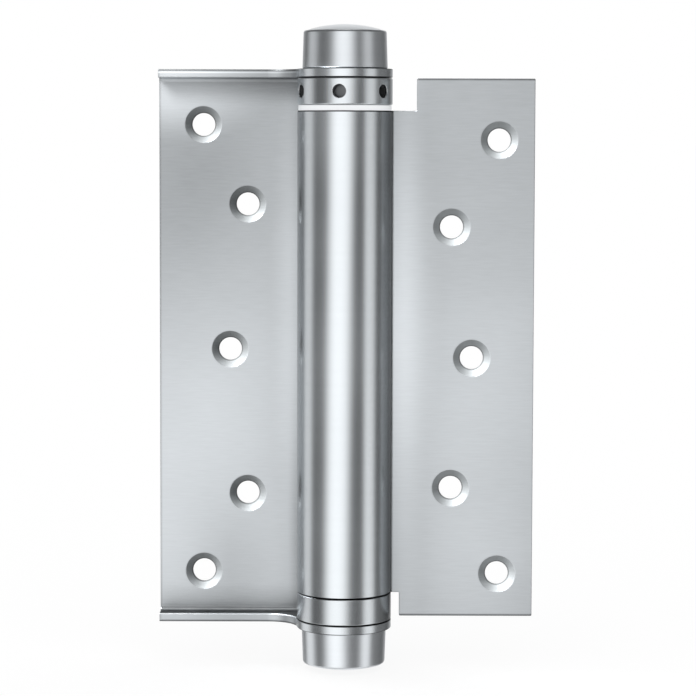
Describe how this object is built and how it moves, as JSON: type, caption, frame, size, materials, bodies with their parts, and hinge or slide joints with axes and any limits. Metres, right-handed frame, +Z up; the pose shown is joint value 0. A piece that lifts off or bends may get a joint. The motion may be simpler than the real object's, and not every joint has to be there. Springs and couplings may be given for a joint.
{
  "type": "spring hinge",
  "caption": "Single-action spring hinge: a flanged frame leaf carries a spring-filled barrel rolled from the door leaf, with a winding collar and domed caps.",
  "frame": {"origin": "on the pivot axis, midway between the two flanges of the frame leaf, with the hinge opened flat", "axes": "+X from the pivot towards the door leaf, +Y from the countersunk front towards the mounting faces at the back, +Z up along the pivot axis towards the tension collar"},
  "size_m": [0.101, 0.0269, 0.1732],
  "materials": {
    "satin_sheet": "satin plated sheet steel",
    "satin_turned": "satin plated, turned",
    "bright_steel": "bright drawn steel",
    "spring_steel": "oiled spring wire",
    "white_nylon": "moulded, matt"
  },
  "bodies": {
    "frame": {"frame_leaf": "satin_sheet", "spindle": "bright_steel", "end_caps": "satin_turned"},
    "door": {"door_leaf": "satin_sheet", "bottom_collar": "satin_turned", "bearing_ring": "white_nylon", "torsion_spring": "spring_steel"},
    "collar": {"tension_collar": "satin_turned", "stop_pin": "bright_steel"}
  },
  "joints": [
    {"name": "door_swing", "type": "hinge", "parent": "frame", "child": "door", "pos_m": [0, 0, 0], "axis": [0, 0, 1], "range_deg": [-180, 0], "stiffness_Nm_per_rad": 1.83, "deforming": ["torsion_spring"]},
    {"name": "collar_turn", "type": "hinge", "parent": "frame", "child": "collar", "pos_m": [0, 0, 0], "axis": [0, 0, 1], "range_deg": [-240, 32], "deforming": ["torsion_spring"]}
  ]
}
